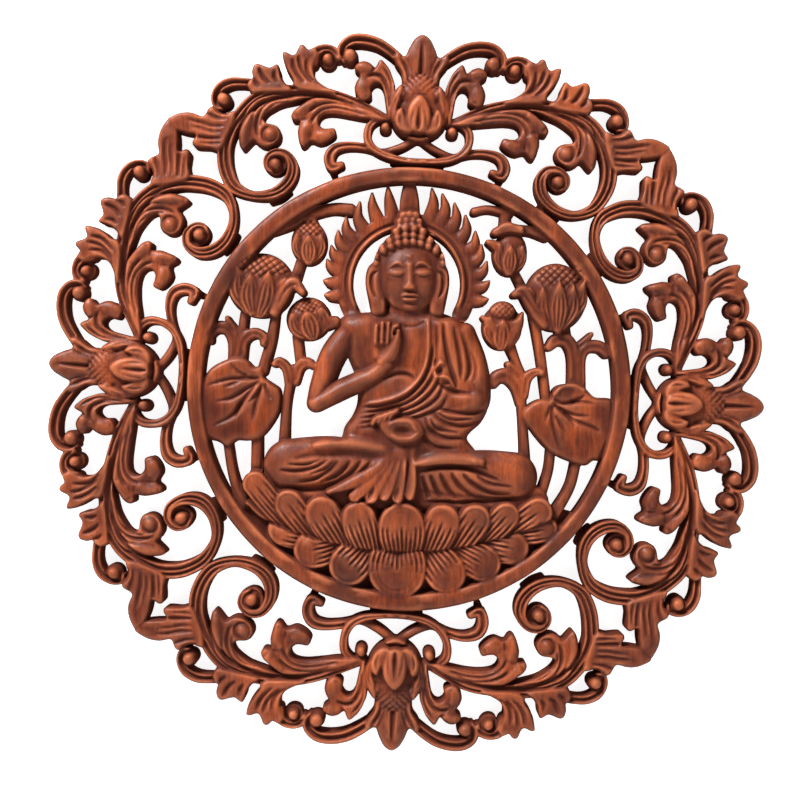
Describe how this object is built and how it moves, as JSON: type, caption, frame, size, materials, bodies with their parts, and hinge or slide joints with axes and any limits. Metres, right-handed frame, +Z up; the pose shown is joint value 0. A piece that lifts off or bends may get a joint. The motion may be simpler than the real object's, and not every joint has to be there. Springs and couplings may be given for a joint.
{
  "type": "carved wall panel",
  "caption": "Round pierced wooden wall panel: a seated figure on a lotus throne inside a ring, in a border of leafy scrolls and flowers, with a flat back that lies against the wall.",
  "frame": {"origin": "middle of the flat back, where it lies against the wall", "axes": "+Z up, +X to the right as seen from the front, +Y into the wall; the relief faces -Y"},
  "size_m": [0.3989, 0.022, 0.3996],
  "materials": {
    "waxed_wood": "reddish-brown stain under a soft wax gloss, lighter on worn high edges"
  },
  "bodies": {
    "root": {"carved_panel": "waxed_wood"}
  },
  "joints": []
}
